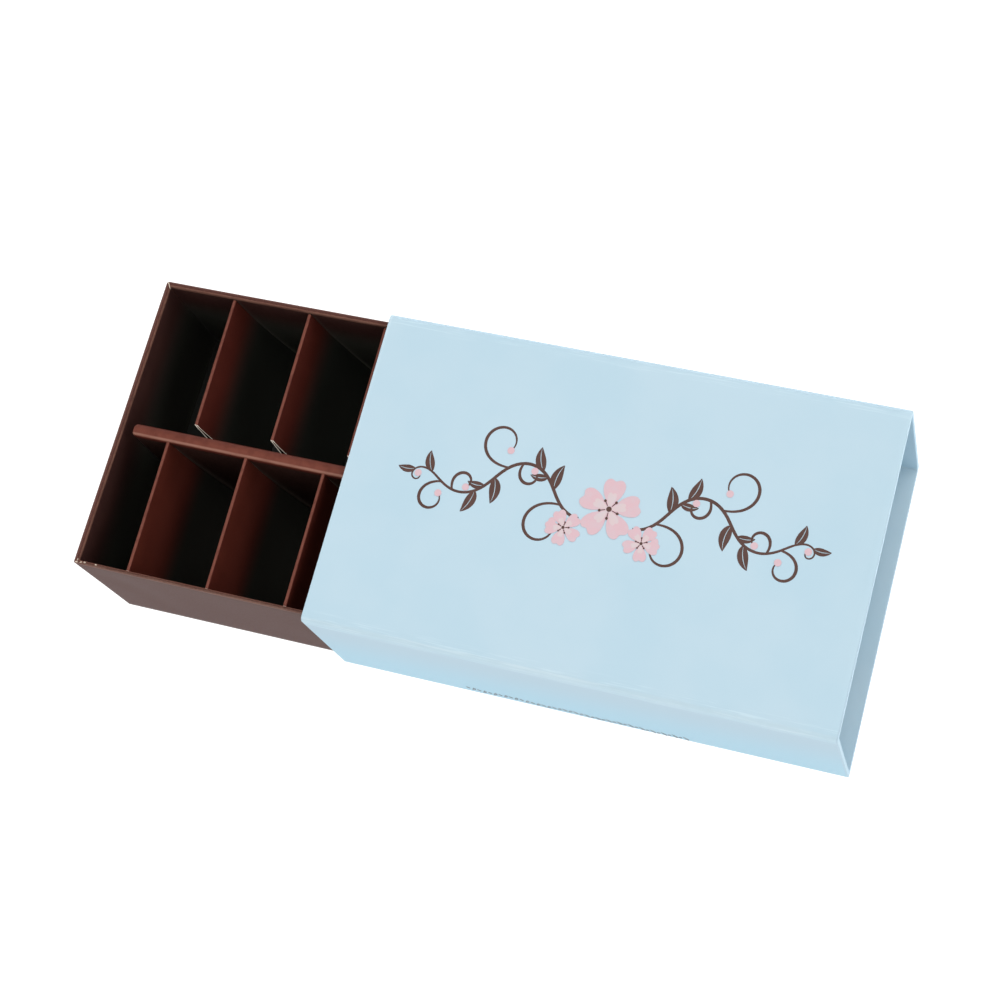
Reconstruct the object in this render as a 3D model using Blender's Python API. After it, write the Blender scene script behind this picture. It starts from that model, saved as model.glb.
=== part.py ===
"""Drawer-style gift box for chocolates, half open, modelled as it is made up.

A pale sleeve of folded board is open at both ends, and a brown tray slides in it like a
drawer. A centre bar parts the tray into two rows. In each row lies one strip of thin card,
folded up into hollow fins, so that a row has six cells.

+X runs along the box and the tray comes out towards -X. +Z is up, and the origin is on the
ground under the middle of the open box. Run it with: blender --background --python part.py
"""

import math

import bmesh
import bpy
from mathutils import Vector

MM = 0.001

# Driving dimensions, in millimetres
SLEEVE_LENGTH = 177.0
SLEEVE_WIDTH = 108.0
SLEEVE_HEIGHT = 55.5
SLEEVE_BOARD = 1.7
SLEEVE_FOLD_RADIUS = 1.8
SLEEVE_INSIDE_RADIUS = 0.4

TRAY_SHOWN = 83.5
TRAY_WALL = 1.8
TRAY_EDGE_RADIUS = 0.6
SLIDING_GAP = 0.3

BAR_WIDTH = 4.9
BAR_OFF_CENTRE = -2.2
BAR_BELOW_RIM = 0.5
BAR_END_GAP = 2.9
BAR_EDGE_RADIUS = 0.8

CARD = 0.45
CARD_FOLD_RADIUS = 0.32
FIN_COUNT = 5
FIN_BELOW_RIM = 0.65
FIN_TOP_WIDTH = 0.72
FIN_LEAN = 9.0
FIRST_FIN_FAR = 26.3
PITCH_FAR = 27.95
FIRST_FIN_NEAR = 19.3
PITCH_NEAR = 28.45
RAW_END_GAP = 2.9
TOUCH_GAP = 0.3

# Sizes that follow from them
TRAY_LENGTH = SLEEVE_LENGTH
TRAY_WIDTH = SLEEVE_WIDTH - 2 * (SLEEVE_BOARD + SLIDING_GAP)
TRAY_HEIGHT = SLEEVE_HEIGHT - 2 * (SLEEVE_BOARD + SLIDING_GAP)
TRAY_BASE = SLEEVE_BOARD + SLIDING_GAP
TRAY_INSIDE_HALF_WIDTH = TRAY_WIDTH / 2 - TRAY_WALL
WHOLE_LENGTH = SLEEVE_LENGTH + TRAY_SHOWN
SLEEVE_LEFT = WHOLE_LENGTH / 2 - SLEEVE_LENGTH
TRAY_LEFT = -WHOLE_LENGTH / 2

ARC_STEPS = 6
FOLD_STEPS = 4
EDGE_SEGMENTS = 3
FLAT_ANGLE = math.radians(30)


def clear_scene():
    """Takes every object out of the scene."""
    for thing in list(bpy.data.objects):
        bpy.data.objects.remove(thing, do_unlink=True)


def make_material(name, colour, roughness):
    """A paper finish: colour is linear red, green and blue."""
    material = bpy.data.materials.new(name)
    material.use_nodes = True
    shader = material.node_tree.nodes["Principled BSDF"]
    shader.inputs["Base Color"].default_value = (*colour, 1.0)
    shader.inputs["Roughness"].default_value = roughness
    shader.inputs["Metallic"].default_value = 0.0
    return material


def make_object(name, mesh, material, parent, place=(0.0, 0.0, 0.0)):
    """Turns a bmesh drawn in millimetres into a named object, placed in millimetres."""
    bmesh.ops.recalc_face_normals(mesh, faces=mesh.faces[:])
    bmesh.ops.scale(mesh, vec=Vector((MM, MM, MM)), verts=mesh.verts[:])
    data = bpy.data.meshes.new(name)
    mesh.to_mesh(data)
    mesh.free()
    data.materials.append(material)
    thing = bpy.data.objects.new(name, data)
    bpy.context.scene.collection.objects.link(thing)
    thing.parent = parent
    thing.location = Vector(place) * MM
    data.shade_smooth()
    data.set_sharp_from_angle(angle=FLAT_ANGLE)
    return thing


def make_empty(name, place):
    """An empty that carries a body's pieces, placed in millimetres."""
    empty = bpy.data.objects.new(name, None)
    bpy.context.scene.collection.objects.link(empty)
    empty.location = Vector(place) * MM
    return empty


def round_edges(thing, radius):
    """Rounds every edge that turns by more than a flat angle."""
    bevel = thing.modifiers.new("Rounded edges", "BEVEL")
    bevel.width = radius * MM
    bevel.segments = EDGE_SEGMENTS
    bevel.limit_method = "ANGLE"
    bevel.angle_limit = FLAT_ANGLE


def rounded_rectangle(width, bottom, top, radius):
    """Points (y, z) of an upright rectangle centred on y = 0, its corners rounded by arcs."""
    half = width / 2 - radius
    centres = [
        (half, bottom + radius, -90),
        (half, top - radius, 0),
        (-half, top - radius, 90),
        (-half, bottom + radius, 180),
    ]
    points = []
    for y, z, start in centres:
        for step in range(ARC_STEPS + 1):
            angle = math.radians(start + 90 * step / ARC_STEPS)
            points.append((y + radius * math.cos(angle), z + radius * math.sin(angle)))
    return points


def draw_loop(mesh, points):
    """Draws a closed loop of edges through the points (x, y, z)."""
    verts = [mesh.verts.new(point) for point in points]
    return [mesh.edges.new(pair) for pair in zip(verts, verts[1:] + verts[:1])]


def extrude(mesh, faces, path):
    """Extrudes the faces along path and leaves the first ones where they are."""
    made = bmesh.ops.extrude_face_region(mesh, geom=faces)
    moved = [item for item in made["geom"] if isinstance(item, bmesh.types.BMVert)]
    bmesh.ops.translate(mesh, vec=Vector(path), verts=moved)


def draw_block(mesh, low, high):
    """Draws a box from its lowest to its highest corner and returns its top face."""
    bmesh.ops.create_cube(mesh, size=1.0)
    size = [b - a for a, b in zip(low, high)]
    middle = [(a + b) / 2 for a, b in zip(low, high)]
    bmesh.ops.scale(mesh, vec=Vector(size), verts=mesh.verts[:])
    bmesh.ops.translate(mesh, vec=Vector(middle), verts=mesh.verts[:])
    return max(mesh.faces, key=lambda face: face.calc_center_median().z)


def round_corners(corners, radius):
    """Follows the corners (x, z) of a folded card, and turns each fold into an arc."""
    path = [Vector(corners[0])]
    for before, corner, after in zip(corners, corners[1:], corners[2:]):
        corner = Vector(corner)
        back = (Vector(before) - corner).normalized()
        ahead = (Vector(after) - corner).normalized()
        opening = back.angle(ahead)
        reach = radius / math.tan(opening / 2)
        centre = corner + (back + ahead).normalized() * radius / math.sin(opening / 2)
        start = corner + back * reach - centre
        turn = start.angle_signed(corner + ahead * reach - centre)
        for step in range(FOLD_STEPS + 1):
            angle = -turn * step / FOLD_STEPS
            path.append(
                centre
                + Vector(
                    (
                        start.x * math.cos(angle) - start.y * math.sin(angle),
                        start.x * math.sin(angle) + start.y * math.cos(angle),
                    )
                )
            )
    path.append(Vector(corners[-1]))
    return path


def build_sleeve(body, board):
    """The sleeve: one board folded round into a tube that is open at both ends."""
    mesh = bmesh.new()
    outside = rounded_rectangle(SLEEVE_WIDTH, 0.0, SLEEVE_HEIGHT, SLEEVE_FOLD_RADIUS)
    inside = rounded_rectangle(
        SLEEVE_WIDTH - 2 * SLEEVE_BOARD,
        SLEEVE_BOARD,
        SLEEVE_HEIGHT - SLEEVE_BOARD,
        SLEEVE_INSIDE_RADIUS,
    )
    edges = draw_loop(mesh, [(0.0, y, z) for y, z in outside])
    edges += draw_loop(mesh, [(0.0, y, z) for y, z in inside])
    bmesh.ops.bridge_loops(mesh, edges=edges)
    extrude(mesh, mesh.faces[:], (SLEEVE_LENGTH, 0.0, 0.0))
    return make_object("sleeve", mesh, board, body)


def build_tray(body, board):
    """The tray: an open box of folded board, its rims and corners a little rounded."""
    mesh = bmesh.new()
    top = draw_block(
        mesh, (0.0, -TRAY_WIDTH / 2, 0.0), (TRAY_LENGTH, TRAY_WIDTH / 2, TRAY_HEIGHT)
    )
    bmesh.ops.inset_region(mesh, faces=[top], thickness=TRAY_WALL)
    extrude(mesh, [top], (0.0, 0.0, TRAY_WALL - TRAY_HEIGHT))
    bmesh.ops.delete(mesh, geom=[top], context="FACES_ONLY")
    tray = make_object("tray", mesh, board, body)
    round_edges(tray, TRAY_EDGE_RADIUS)
    return tray


def build_bar(body, board):
    """The centre bar that parts the two rows, from the tray's floor almost to its rim."""
    mesh = bmesh.new()
    draw_block(
        mesh,
        (0.0, -BAR_WIDTH / 2, 0.0),
        (
            TRAY_LENGTH - 2 * (TRAY_WALL + BAR_END_GAP),
            BAR_WIDTH / 2,
            TRAY_HEIGHT - TRAY_WALL - TOUCH_GAP - BAR_BELOW_RIM,
        ),
    )
    place = (TRAY_WALL + BAR_END_GAP, BAR_OFF_CENTRE, TRAY_WALL + TOUCH_GAP)
    bar = make_object("divider", mesh, board, body, place)
    round_edges(bar, BAR_EDGE_RADIUS)
    return bar


def fold_line(first_fin, pitch):
    """The middle of the folded card, seen from its edge, as points (x, z) in the tray.

    The card lies on the floor, rises straight up, folds over and leans out on its way down.
    """
    floor = TRAY_WALL + TOUCH_GAP + CARD / 2
    top = TRAY_HEIGHT - FIN_BELOW_RIM - CARD / 2
    corners = [(TRAY_WALL + TOUCH_GAP, floor)]
    for number in range(FIN_COUNT):
        left = first_fin + number * pitch + CARD / 2
        right = left + FIN_TOP_WIDTH
        corners += [
            (left, floor),
            (left, top),
            (right, top),
            (right + FIN_LEAN, floor),
        ]
    corners.append((TRAY_LENGTH - TRAY_WALL - TOUCH_GAP, floor))
    return round_corners(corners, CARD_FOLD_RADIUS)


def build_liner(name, body, card, first_fin, pitch, near_edge, far_edge):
    """One row's strip of card, folded up into fins and given its thickness."""
    mesh = bmesh.new()
    path = fold_line(first_fin, pitch)
    near = [mesh.verts.new((x, near_edge, z)) for x, z in path]
    far = [mesh.verts.new((x, far_edge, z)) for x, z in path]
    for number in range(len(path) - 1):
        mesh.faces.new((near[number], near[number + 1], far[number + 1], far[number]))
    liner = make_object(name, mesh, card, body)
    thickness = liner.modifiers.new("Card thickness", "SOLIDIFY")
    thickness.thickness = CARD * MM
    thickness.offset = 0.0
    thickness.use_even_offset = True
    return liner


def main():
    """Builds the sleeve, and the tray with all that it carries."""
    clear_scene()
    pale_board = make_material("pale blue board", (0.56, 0.74, 0.83), 0.45)
    brown_board = make_material("brown board", (0.105, 0.042, 0.034), 0.40)
    brown_card = make_material("brown card", (0.120, 0.045, 0.034), 0.42)

    sleeve_body = make_empty("sleeve_body", (SLEEVE_LEFT, 0.0, 0.0))
    drawer_body = make_empty("drawer_body", (TRAY_LEFT, 0.0, TRAY_BASE))
    build_sleeve(sleeve_body, pale_board)
    build_tray(drawer_body, brown_board)
    build_bar(drawer_body, brown_board)

    bar_far = BAR_OFF_CENTRE + BAR_WIDTH / 2
    bar_near = BAR_OFF_CENTRE - BAR_WIDTH / 2
    wall = TRAY_INSIDE_HALF_WIDTH - TOUCH_GAP
    build_liner(
        "liner_far",
        drawer_body,
        brown_card,
        FIRST_FIN_FAR,
        PITCH_FAR,
        bar_far + RAW_END_GAP,
        wall,
    )
    build_liner(
        "liner_near",
        drawer_body,
        brown_card,
        FIRST_FIN_NEAR,
        PITCH_NEAR,
        -wall,
        bar_near - TOUCH_GAP,
    )
    bpy.context.view_layer.update()


main()
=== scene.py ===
"""Looks of a long gift box for chocolates: a brown drawer tray half out of its pale sleeve.

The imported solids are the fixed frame. Each class below rebuilds what shows of one
sub-assembly as fine surfaces in the same place, finishes it and lets it ride on the body
that carries it. Sizes are in millimetres until a piece is made. The frame has +X along the
box, from the drawer's open end to the sleeve's, +Z up and its origin on the ground.
"""

import logging
from dataclasses import dataclass, field
from enum import Enum, IntEnum
from math import cos, pi, radians, sin, tau

import bpy
import numpy as np
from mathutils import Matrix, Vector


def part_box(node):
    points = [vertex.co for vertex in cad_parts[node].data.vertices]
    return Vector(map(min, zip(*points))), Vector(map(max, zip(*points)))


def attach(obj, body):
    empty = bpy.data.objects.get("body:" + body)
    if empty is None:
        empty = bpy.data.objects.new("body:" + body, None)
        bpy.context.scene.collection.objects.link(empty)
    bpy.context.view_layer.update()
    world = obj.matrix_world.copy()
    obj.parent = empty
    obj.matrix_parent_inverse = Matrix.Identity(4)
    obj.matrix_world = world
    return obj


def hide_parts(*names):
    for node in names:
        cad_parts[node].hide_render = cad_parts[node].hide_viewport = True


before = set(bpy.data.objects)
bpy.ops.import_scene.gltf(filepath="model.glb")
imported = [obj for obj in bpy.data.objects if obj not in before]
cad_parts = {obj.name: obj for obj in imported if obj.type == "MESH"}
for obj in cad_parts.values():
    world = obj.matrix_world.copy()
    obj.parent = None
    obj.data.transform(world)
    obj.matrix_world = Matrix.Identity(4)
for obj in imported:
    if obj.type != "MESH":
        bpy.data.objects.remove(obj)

MM = 0.001
LOG = logging.getLogger("gift_box")
# The angle between faces above which an edge stays sharp
CREASE = radians(35.0)

Pair = tuple[float, float]
Colour = tuple[float, float, float]
Faces = list[tuple[np.ndarray, int]]


class Body(Enum):
    """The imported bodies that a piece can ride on."""

    SLEEVE = "sleeve"
    DRAWER = "drawer"


class Slot(Enum):
    """The record's material slots."""

    SLEEVE_BOARD = "sleeve_board"
    TRAY_BOARD = "tray_board"
    INSERT_CARD = "insert_card"


class Face(IntEnum):
    """Which of a piece's materials a face takes."""

    MAIN = 0
    CUT_EDGE = 1


# Shader expressions


class Wire:
    """A node's output that can be used in arithmetic; each operator adds its Math node."""

    def __init__(self, sheet: "ShaderSheet", socket: bpy.types.NodeSocket) -> None:
        """Keeps the socket and the sheet that new nodes go on."""
        self.sheet = sheet
        self.socket = socket

    def __add__(self, other: "Wire | float") -> "Wire":
        """Sum."""
        return self.sheet.math("ADD", self, other)

    __radd__ = __add__

    def __sub__(self, other: "Wire | float") -> "Wire":
        """Difference."""
        return self.sheet.math("SUBTRACT", self, other)

    def __rsub__(self, other: "Wire | float") -> "Wire":
        """Difference from a number on the left."""
        return self.sheet.math("SUBTRACT", other, self)

    def __mul__(self, other: "Wire | float") -> "Wire":
        """Product."""
        return self.sheet.math("MULTIPLY", self, other)

    __rmul__ = __mul__

    def __abs__(self) -> "Wire":
        """Size without sign."""
        return self.sheet.math("ABSOLUTE", self)

    def least(self, other: "Wire | float") -> "Wire":
        """The smaller of two values."""
        return self.sheet.math("MINIMUM", self, other)

    def most(self, other: "Wire | float") -> "Wire":
        """The larger of two values."""
        return self.sheet.math("MAXIMUM", self, other)

    def ease(self, start: float, end: float) -> "Wire":
        """A smooth step from 0 at start to 1 at end; start may be the larger.

        Args:
            start: Value where the step is still 0.
            end: Value where the step has reached 1.

        Returns:
            The step, between 0 and 1.
        """
        low, high = min(start, end), max(start, end)
        at_low, at_high = (0.0, 1.0) if start < end else (1.0, 0.0)
        return self.sheet.node(
            "ShaderNodeMapRange",
            {"interpolation_type": "SMOOTHSTEP"},
            {"Value": self, "From Min": low, "From Max": high, "To Min": at_low, "To Max": at_high},
        )


class ShaderSheet:
    """The nodes of one material, or of the world."""

    def __init__(self, owner: bpy.types.Material | bpy.types.World) -> None:
        """Empties the owner's nodes to start afresh.

        Args:
            owner: The material or world.
        """
        self.owner = owner
        owner.use_nodes = True
        self.tree = owner.node_tree
        self.tree.nodes.clear()

    @classmethod
    def material(cls, name: str) -> "ShaderSheet":
        """A sheet on a new material with this name."""
        return cls(bpy.data.materials.new(name))

    def node(
        self,
        kind: str,
        settings: dict[str, object] | None = None,
        inputs: dict[str | int, object] | None = None,
        output: str | int | None = 0,
    ) -> Wire | None:
        """Adds one node.

        Args:
            kind: The node's type.
            settings: Its own properties, set first.
            inputs: Values or wires of its sockets, by name or number.
            output: Which output to return; none for a node that ends the sheet.

        Returns:
            That output as a wire.
        """
        made = self.tree.nodes.new(kind)
        for name, value in (settings or {}).items():
            setattr(made, name, value)
        for name, value in (inputs or {}).items():
            socket = made.inputs[name]
            if isinstance(value, Wire):
                self.tree.links.new(value.socket, socket)
            elif socket.type == "RGBA":
                socket.default_value = (*value, 1.0)
            else:
                socket.default_value = value
        return None if output is None else Wire(self, made.outputs[output])

    def math(self, operation: str, *values: Wire | float) -> Wire:
        """One Math node on these values."""
        return self.node("ShaderNodeMath", {"operation": operation}, dict(enumerate(values)))

    def direction(self) -> Wire:
        """On a world's sheet, the way towards each part of the sky."""
        return self.node("ShaderNodeTexCoord", output="Object")

    def place(self) -> Wire:
        """The point on the piece, in millimetres."""
        point = self.node("ShaderNodeTexCoord", output="Object")
        return self.node("ShaderNodeVectorMath", {"operation": "SCALE"}, {0: point, "Scale": 1.0 / MM})

    def stretched(self, point: Wire, factors: Colour) -> Wire:
        """The point with each of its axes multiplied, to draw a pattern out."""
        return self.node("ShaderNodeVectorMath", {"operation": "MULTIPLY"}, {0: point, 1: factors})

    def axes(self, point: Wire) -> tuple[Wire, Wire, Wire]:
        """The point's x, y and z."""
        split = self.node("ShaderNodeSeparateXYZ", inputs={0: point})
        outputs = split.socket.node.outputs
        return split, Wire(self, outputs[1]), Wire(self, outputs[2])

    def noise(self, point: Wire, size: float, detail: float = 2.0, roughness: float = 0.5) -> Wire:
        """Cloudy noise around 0.5 with features of about this size in millimetres."""
        inputs = {"Vector": point, "Scale": 1.0 / size, "Detail": detail, "Roughness": roughness}
        return self.node("ShaderNodeTexNoise", inputs=inputs)

    def spots(self, point: Wire, cell: float) -> Wire:
        """Distance, in cells, to the nearest of points scattered one to a cell."""
        return self.node("ShaderNodeTexVoronoi", inputs={"Vector": point, "Scale": 1.0 / cell})

    def mix(self, factor: Wire | float, first: Wire | Colour, second: Wire | Colour) -> Wire:
        """A colour between two, the first where the factor is 0."""
        inputs = {0: factor, 6: first, 7: second}
        return self.node("ShaderNodeMix", {"data_type": "RGBA"}, inputs, output=2)

    def layered(self, tone: Wire, layers: list[tuple[Wire, Wire | Colour]]) -> Wire:
        """The tone with each layer's colour mixed over it in turn, by that layer's mask."""
        for mask, colour in layers:
            tone = self.mix(mask, tone, colour)
        return tone

    def bump(self, height: Wire, depth: float) -> Wire:
        """A normal for relief of this depth in millimetres where the height goes 0 to 1."""
        return self.node("ShaderNodeBump", inputs={"Height": height, "Distance": depth * MM})

    def finish(self, **sockets: object) -> bpy.types.Material:
        """Ends the sheet with a Principled shader.

        Args:
            **sockets: Values or wires, with underscores for the spaces in socket names.

        Returns:
            The finished material.
        """
        inputs = {name.replace("_", " "): value for name, value in sockets.items()}
        shader = self.node("ShaderNodeBsdfPrincipled", inputs=inputs)
        self.node("ShaderNodeOutputMaterial", inputs={"Surface": shader}, output=None)
        return self.owner

    def shine(self, strength: Wire) -> None:
        """Ends a world's sheet with white light of this strength."""
        light = self.node("ShaderNodeBackground", inputs={"Color": (1.0, 1.0, 1.0), "Strength": strength})
        self.node("ShaderNodeOutputWorld", inputs={"Surface": light}, output=None)


# Finishes


@dataclass(frozen=True)
class PaleWrap:
    """Pale blue paper round the sleeve's board, whitish from wear in streaks along its folds; its
    sides, inside, far fold and right end carry painted shade, its near fold a painted highlight
    and its left end a pale edge that is partly wear and partly painted highlight.

    Left and right are the x of its ends, fold is the y of its far side and top its height.
    """

    left: float
    right: float
    fold: float
    top: float
    base: Colour = (0.455, 0.595, 0.676)
    cloud: Colour = (0.432, 0.582, 0.668)
    # Painted shade: the sides' tone under the fold, darker than the top.
    side: Colour = (0.404, 0.540, 0.630)
    # Painted light: the sides turn lighter and bluer towards the foot, as if lit from the table.
    foot: Colour = (0.374, 0.572, 0.685)
    # Painted shade inside the tube and on the paper turned in at its ends.
    inside: Colour = (0.350, 0.525, 0.640)
    # Whitish paper: wear in the fold streaks, painted highlight on the near fold and partly on the left
    # edge.
    wear_and_highlight: Colour = (0.70, 0.82, 0.87)
    speck: Colour = (0.24, 0.30, 0.33)
    roughness: float = 0.60
    ior: float = 1.27

    def dress(self) -> bpy.types.Material:
        """Cloudy tone, lighter streaks of wear along the folds, a pale left edge that is partly wear
        and partly painted highlight, stray specks, painted shade on the sides, inside, far fold and
        right end, and a painted highlight on the near fold.

        Returns:
            The finished material.
        """
        sheet = ShaderSheet.material("pale_wrap")
        point = sheet.place()
        x, y, z = sheet.axes(point)
        below, inward = self.top - z, self.fold - abs(y)
        clouds = sheet.noise(point, 34.0, 3.0, 0.55)
        fibre = sheet.noise(point, 0.9, 4.0, 0.6)
        drawn = sheet.stretched(point, (0.035, 1.0, 1.0))
        streaks = sheet.noise(drawn, 0.55, 3.0, 0.6).ease(0.50, 0.66)
        streaks = streaks * inward.ease(5.5, 1.6) * below.ease(8.0, 3.0)
        broken = sheet.noise(point, 2.4, 3.0).ease(0.30, 0.55)
        # The left end's pale edge: partly wear, partly painted highlight.
        left_edge_wear_and_highlight = (x - self.left).ease(0.9, 0.1) * (0.3 + 0.7 * broken)
        # Painted highlight: a lighter band on the near fold only.
        near_fold_highlight = (inward + below).ease(1.85, 1.2) * y.ease(0.0, -1.0)
        layers = [
            # Painted shade on the sides, giving way to painted light from the table towards the foot.
            (
                inward.ease(1.2, 0.4) * below.ease(2.8, 5.2),
                sheet.mix(z.ease(self.top - 6.0, 8.0), self.side, self.foot),
            ),
            # Painted shade inside the tube.
            (below.least(inward).ease(0.9, 1.4) * z.ease(1.8, 3.2), self.inside),
            (streaks * 0.26, self.wear_and_highlight),
            # Painted highlight along the near fold.
            (near_fold_highlight * 0.17, self.wear_and_highlight),
            # Painted shade along the far fold, in the sides' shaded tone.
            (y.ease(self.fold - 2.4, self.fold - 0.8) * 0.7, self.side),
            # Pale left edge, partly wear and partly painted highlight.
            (left_edge_wear_and_highlight * 0.22, self.wear_and_highlight),
            # Painted shade along the right end's edge, in the sides' shaded tone.
            ((self.right - x).ease(0.35, 0.10) * 0.8, self.side),
            (sheet.spots(point, 30.0).ease(0.011, 0.006) * 0.30, self.speck),
        ]
        tone = sheet.mix(clouds.ease(0.34, 0.66), self.base, self.cloud)
        return sheet.finish(
            Base_Color=sheet.layered(tone, layers),
            Roughness=fibre * 0.10 + (self.roughness - 0.05),
            IOR=self.ior,
            Normal=sheet.bump(fibre * 0.35 + streaks * 0.65, 0.012),
        )


@dataclass(frozen=True)
class BrownStock:
    """Dark brown coated board or card, rubbed lighter where it is folded over at the top.

    Its depths are measured down from the top. Further down, painted shade dims the tone, and
    between the two heights of floor painted shade turns it black.
    """

    name: str
    top: float
    base: Colour = (0.066, 0.0130, 0.0078)
    deep: Colour = (0.057, 0.0106, 0.0064)
    rubbed: Colour = (0.150, 0.040, 0.025)
    rub_depth: float = 0.8
    # Tone further down; where it is lighter than the base, as on the near fins, painted light.
    lower: Colour = (0.066, 0.0130, 0.0078)
    # Painted shade: the darker tone deep in the cells, between the dim depths.
    dim: Colour = (0.024, 0.031, 0.026)
    dim_depth: Pair = (9.0, 25.0)
    floor: Pair = (5.4, 4.8)
    # Painted shade at the floor of the cells.
    black: Colour = (0.013, 0.013, 0.011)
    roughness: float = 0.46
    ior: float = 1.24
    grain: float = 0.010

    def tone(self, sheet: ShaderSheet, point: Wire) -> Wire:
        """Mottled brown with a rubbed top edge, a lower tone further down, and painted shade that
        makes it nearly black far below it.

        Args:
            sheet: What the nodes go on.
            point: The place on the piece.

        Returns:
            The colour.
        """
        _, _, z = sheet.axes(point)
        below = self.top - z
        mottle = sheet.noise(point, 9.0, 4.0, 0.55)
        broken = sheet.noise(point, 3.0, 3.0).ease(0.25, 0.60)
        layers = [
            # The lower tone; lighter on the near fins as painted light.
            (below.ease(6.0, 20.0), self.lower),
            # Painted shade: darker with depth.
            (below.ease(*self.dim_depth) * 0.91, self.dim),
            # Painted shade: black at the floor of the cells.
            (z.ease(*self.floor) * z.ease(3.0, 3.6), self.black),
            (below.ease(self.rub_depth, 0.12) * (0.55 + 0.45 * broken), self.rubbed),
        ]
        tone = sheet.mix(mottle.ease(0.34, 0.66), self.base, self.deep)
        return sheet.layered(tone, layers)

    def dress(self) -> bpy.types.Material:
        """The tone under the faint grain of coated paper.

        Returns:
            The finished material.
        """
        sheet = ShaderSheet.material(self.name)
        point = sheet.place()
        fibre = sheet.noise(point, 0.7, 4.0, 0.6)
        mottle = sheet.noise(point, 9.0, 2.0)
        return sheet.finish(
            Base_Color=self.tone(sheet, point),
            Roughness=fibre * 0.12 + (self.roughness - 0.06),
            IOR=self.ior,
            Normal=sheet.bump(fibre * 0.6 + mottle * 0.4, self.grain),
        )


@dataclass(frozen=True)
class BarStock(BrownStock):
    """The centre bar's card, with a pale line along its near edge, partly rubbed wear and partly
    painted highlight, and painted shade on its sides and towards its far edge.

    Near and far are the y of its two faces.
    """

    near: float = 0.0
    far: float = 0.0
    # The near edge's pale line: partly rubbed wear, partly painted highlight.
    line: Colour = (0.27, 0.125, 0.090)
    line_inset: float = 0.95
    # Painted shade on the bar's sides below its top.
    face: Colour = (0.025, 0.0105, 0.0082)

    def tone(self, sheet: ShaderSheet, point: Wire) -> Wire:
        """The card's tone with painted shade on its sides and towards its far edge, and a band along
        the near edge, partly wear and partly painted highlight, that fades to either side.

        Args:
            sheet: What the nodes go on.
            point: The place on the piece.

        Returns:
            The colour.
        """
        _, y, z = sheet.axes(point)
        below = self.top - z
        drawn = sheet.stretched(point, (0.25, 1.0, 1.0))
        broken = sheet.noise(drawn, 1.6, 3.0).ease(0.20, 0.62)
        band = abs(y - (self.near + self.line_inset)).ease(0.62, 0.10)
        layers = [
            # Painted shade on the bar's sides.
            (below.ease(1.1, 2.6), self.face),
            # Painted shade towards the far edge of the top.
            (y.ease(self.far - 2.8, self.far - 0.3) * 0.55, self.deep),
            # Pale near edge line: partly wear, partly painted highlight.
            (band * below.ease(1.3, 0.5) * (0.60 + 0.40 * broken), self.line),
        ]
        return sheet.layered(super().tone(sheet, point), layers)


@dataclass(frozen=True)
class Chip:
    """A place in plan where the coating has come off the rim: an ellipse, turned."""

    x: float
    y: float
    length: float
    width: float
    turn: float = 0.0

    def mask(self, x: Wire, y: Wire) -> Wire:
        """1 on the chip, 0 off it: a smooth step of the squared distance in half axes.

        Args:
            x: The place along the box.
            y: The place across it.

        Returns:
            The mask.
        """
        cosine, sine = cos(self.turn), sin(self.turn)
        along = ((x - self.x) * cosine + (y - self.y) * sine) * (2.0 / self.length)
        across = ((y - self.y) * cosine - (x - self.x) * sine) * (2.0 / self.width)
        return (along * along + across * across).ease(1.5, 0.5)


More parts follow.
